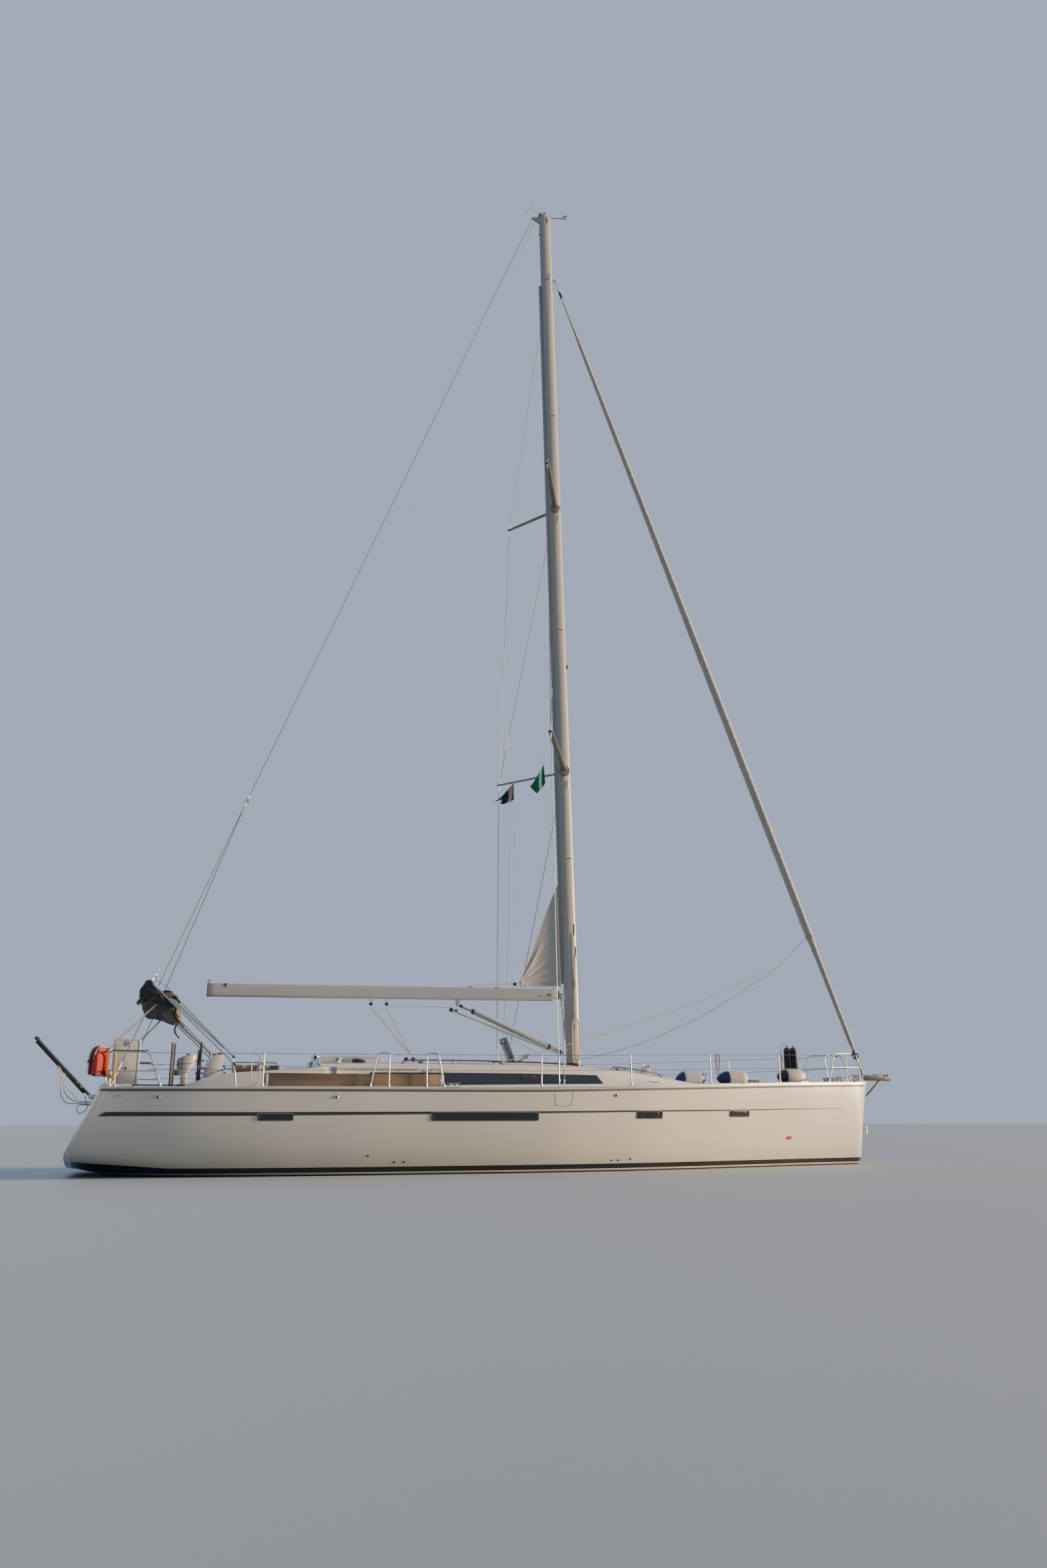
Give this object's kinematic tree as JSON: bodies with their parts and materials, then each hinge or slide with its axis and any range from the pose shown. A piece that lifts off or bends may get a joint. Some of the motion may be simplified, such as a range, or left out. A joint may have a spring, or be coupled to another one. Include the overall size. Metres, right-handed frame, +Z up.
{
  "type": "sailing yacht",
  "caption": "Cruising sailing yacht with fin keel, twin wheels, in-mast furling mainsail, rolled headsail, folded bimini and a stern platform.",
  "frame": {"origin": "amidships on the centreline, at the height of the waterline", "axes": "+X towards the bow, +Y towards port, +Z up"},
  "size_m": [17.5716, 4.76, 26.0184],
  "materials": {
    "gelcoat": "grey-white moulded hull and stern, glossy",
    "deck": "white moulded deck with non-slip panels",
    "dark_glass": "smoked acrylic, nearly black",
    "lead": "painted ballast, dark antifouling",
    "antifouling": "dark antifouling",
    "steel": "polished stainless steel",
    "alloy": "anodised grey",
    "white_alloy": "light grey paint",
    "grey_alloy": "dark grey paint",
    "bronze": "bronze, dull",
    "black": "black",
    "canvas": "dark grey acrylic canvas",
    "genoa": "rolled sailcloth with a grey-green edge strip",
    "sailcloth": "off-white laminate sailcloth",
    "teak": "varnished teak",
    "plank": "weathered softwood with knots",
    "engine": "grey enamel",
    "fender": "cream inflated vinyl",
    "fender_black": "black fender cover",
    "buoy": "red cover of a horseshoe buoy",
    "outboard": "white and grey moulded cowl"
  },
  "bodies": {
    "hull": {"hull_shell": "gelcoat", "window_band_starboard": "dark_glass", "window_band_port": "dark_glass", "deck_moulding": "deck", "cockpit_moulding": "deck", "coachroof_window_starboard": "dark_glass", "coachroof_window_port": "dark_glass", "keel": "lead", "saildrive_leg": "grey_alloy", "engine_block": "engine", "cockpit_table": "deck", "washboard": "dark_glass", "primary_winch_starboard": "steel", "primary_winch_port": "steel", "roof_winch_starboard": "steel", "roof_winch_port": "steel", "bow_plate": "steel", "windlass": "steel", "pulpit_starboard": "steel", "pulpit_port": "steel", "pushpit_starboard": "steel", "pushpit_port": "steel", "lifelines_starboard": "steel", "lifelines_port": "steel", "mast": "alloy", "spreaders_lower": "alloy", "spreaders_upper": "alloy", "shrouds_starboard": "steel", "shrouds_port": "steel", "backstay": "steel", "forestay": "steel", "bimini_frame": "steel", "bimini_canvas": "canvas", "gangplank": "plank", "fender_a": "fender", "fender_b": "fender", "fender_c": "fender", "upright_fenders": "fender_black", "horseshoe_buoy": "buoy", "outboard_on_boards": "outboard"},
    "rudder": {"rudder": "antifouling"},
    "wheel_starboard": {"steering_wheel_starboard": "steel"},
    "wheel_port": {"steering_wheel_port": "steel"},
    "propeller": {"propeller": "bronze"},
    "thruster": {"thruster_propeller": "black"},
    "boom": {"boom": "white_alloy", "vang": "white_alloy", "mainsail_clew": "sailcloth"},
    "headsail_furler": {"furler_drum": "black", "rolled_headsail": "genoa"},
    "swim_platform": {"swim_platform": "gelcoat"},
    "passerelle": {"passerelle": "black"},
    "lifting_seat": {"lifting_helm_seat": "deck"},
    "companion_hatch": {"companion_hatch": "dark_glass"},
    "saloon_hatch_aft": {"saloon_hatch_aft": "dark_glass"},
    "saloon_hatch_fore": {"saloon_hatch_fore": "dark_glass"},
    "fore_hatch": {"fore_hatch": "dark_glass"},
    "locker_lid": {"anchor_locker_lid": "deck"},
    "leaf_starboard": {"table_leaf_starboard": "teak"},
    "leaf_port": {"table_leaf_port": "teak"}
  },
  "joints": [
    {"name": "rudder_turn", "type": "hinge", "parent": "hull", "child": "rudder", "pos_m": [-6.7, 0, 0], "axis": [0, 0, 1], "range_deg": [-35, 35]},
    {"name": "wheel_starboard_turn", "type": "hinge", "parent": "hull", "child": "wheel_starboard", "pos_m": [-6.02, -1.17, 1.8], "axis": [1, 0, 0], "range_deg": [-350, 350]},
    {"name": "wheel_port_turn", "type": "hinge", "parent": "hull", "child": "wheel_port", "pos_m": [-6.02, 1.17, 1.8], "axis": [1, 0, 0], "range_deg": [-350, 350]},
    {"name": "propeller_spin", "type": "hinge", "parent": "hull", "child": "propeller", "pos_m": [-3.4, 0, -1], "axis": [1, 0, 0], "continuous": true},
    {"name": "thruster_spin", "type": "hinge", "parent": "hull", "child": "thruster", "pos_m": [6.08, 0, -0.128], "axis": [0, 1, 0], "continuous": true},
    {"name": "boom_swing", "type": "hinge", "parent": "hull", "child": "boom", "pos_m": [1.095, 0, 3.35], "axis": [-0.0226, 0, 0.9997], "range_deg": [-65, 65]},
    {"name": "furler_turn", "type": "hinge", "parent": "hull", "child": "headsail_furler", "pos_m": [8.07, 0, 1.85], "axis": [-0.3375, 0, 0.9413], "continuous": true},
    {"name": "platform_fold", "type": "hinge", "parent": "hull", "child": "swim_platform", "pos_m": [-8.046, 0, 0.352], "axis": [0, -1, 0], "range_deg": [0, 113]},
    {"name": "passerelle_fold", "type": "hinge", "parent": "hull", "child": "passerelle", "pos_m": [-7.79, -1.03, 1.31], "axis": [0, -1, 0], "range_deg": [-40, 45]},
    {"name": "helm_seat_fold", "type": "hinge", "parent": "hull", "child": "lifting_seat", "pos_m": [-7.33, 0.447, 1.513], "axis": [1, 0, 0], "range_deg": [0, 90]},
    {"name": "companion_slide", "type": "slide", "parent": "hull", "child": "companion_hatch", "axis": [1, 0, 0], "range_m": [0, 0.48]},
    {"name": "saloon_hatch_aft_turn", "type": "hinge", "parent": "hull", "child": "saloon_hatch_aft", "pos_m": [0.03, 0, 2.0343], "axis": [0, 1, 0], "range_deg": [-68, 12]},
    {"name": "saloon_hatch_fore_turn", "type": "hinge", "parent": "hull", "child": "saloon_hatch_fore", "pos_m": [0.13, 0, 2.0263], "axis": [0, -1, 0], "range_deg": [-35, 45]},
    {"name": "fore_hatch_turn", "type": "hinge", "parent": "hull", "child": "fore_hatch", "pos_m": [5.42, 0, 1.7003], "axis": [0, 1, 0], "range_deg": [0, 85]},
    {"name": "locker_lid_turn", "type": "hinge", "parent": "hull", "child": "locker_lid", "pos_m": [6.58, 0.25, 1.7123], "axis": [-1, 0, 0], "range_deg": [0, 95]},
    {"name": "leaf_starboard_turn", "type": "hinge", "parent": "hull", "child": "leaf_starboard", "pos_m": [-4.99, -0.1413, 1.9], "axis": [-1, 0, 0], "range_deg": [0, 90]},
    {"name": "leaf_port_turn", "type": "hinge", "parent": "hull", "child": "leaf_port", "pos_m": [-4.99, 0.1413, 1.9], "axis": [1, 0, 0], "range_deg": [0, 90]}
  ],
  "couplings": [
    {"joint": "wheel_starboard_turn", "follows": "rudder_turn", "ratio": 10},
    {"joint": "wheel_port_turn", "follows": "rudder_turn", "ratio": 10}
  ]
}
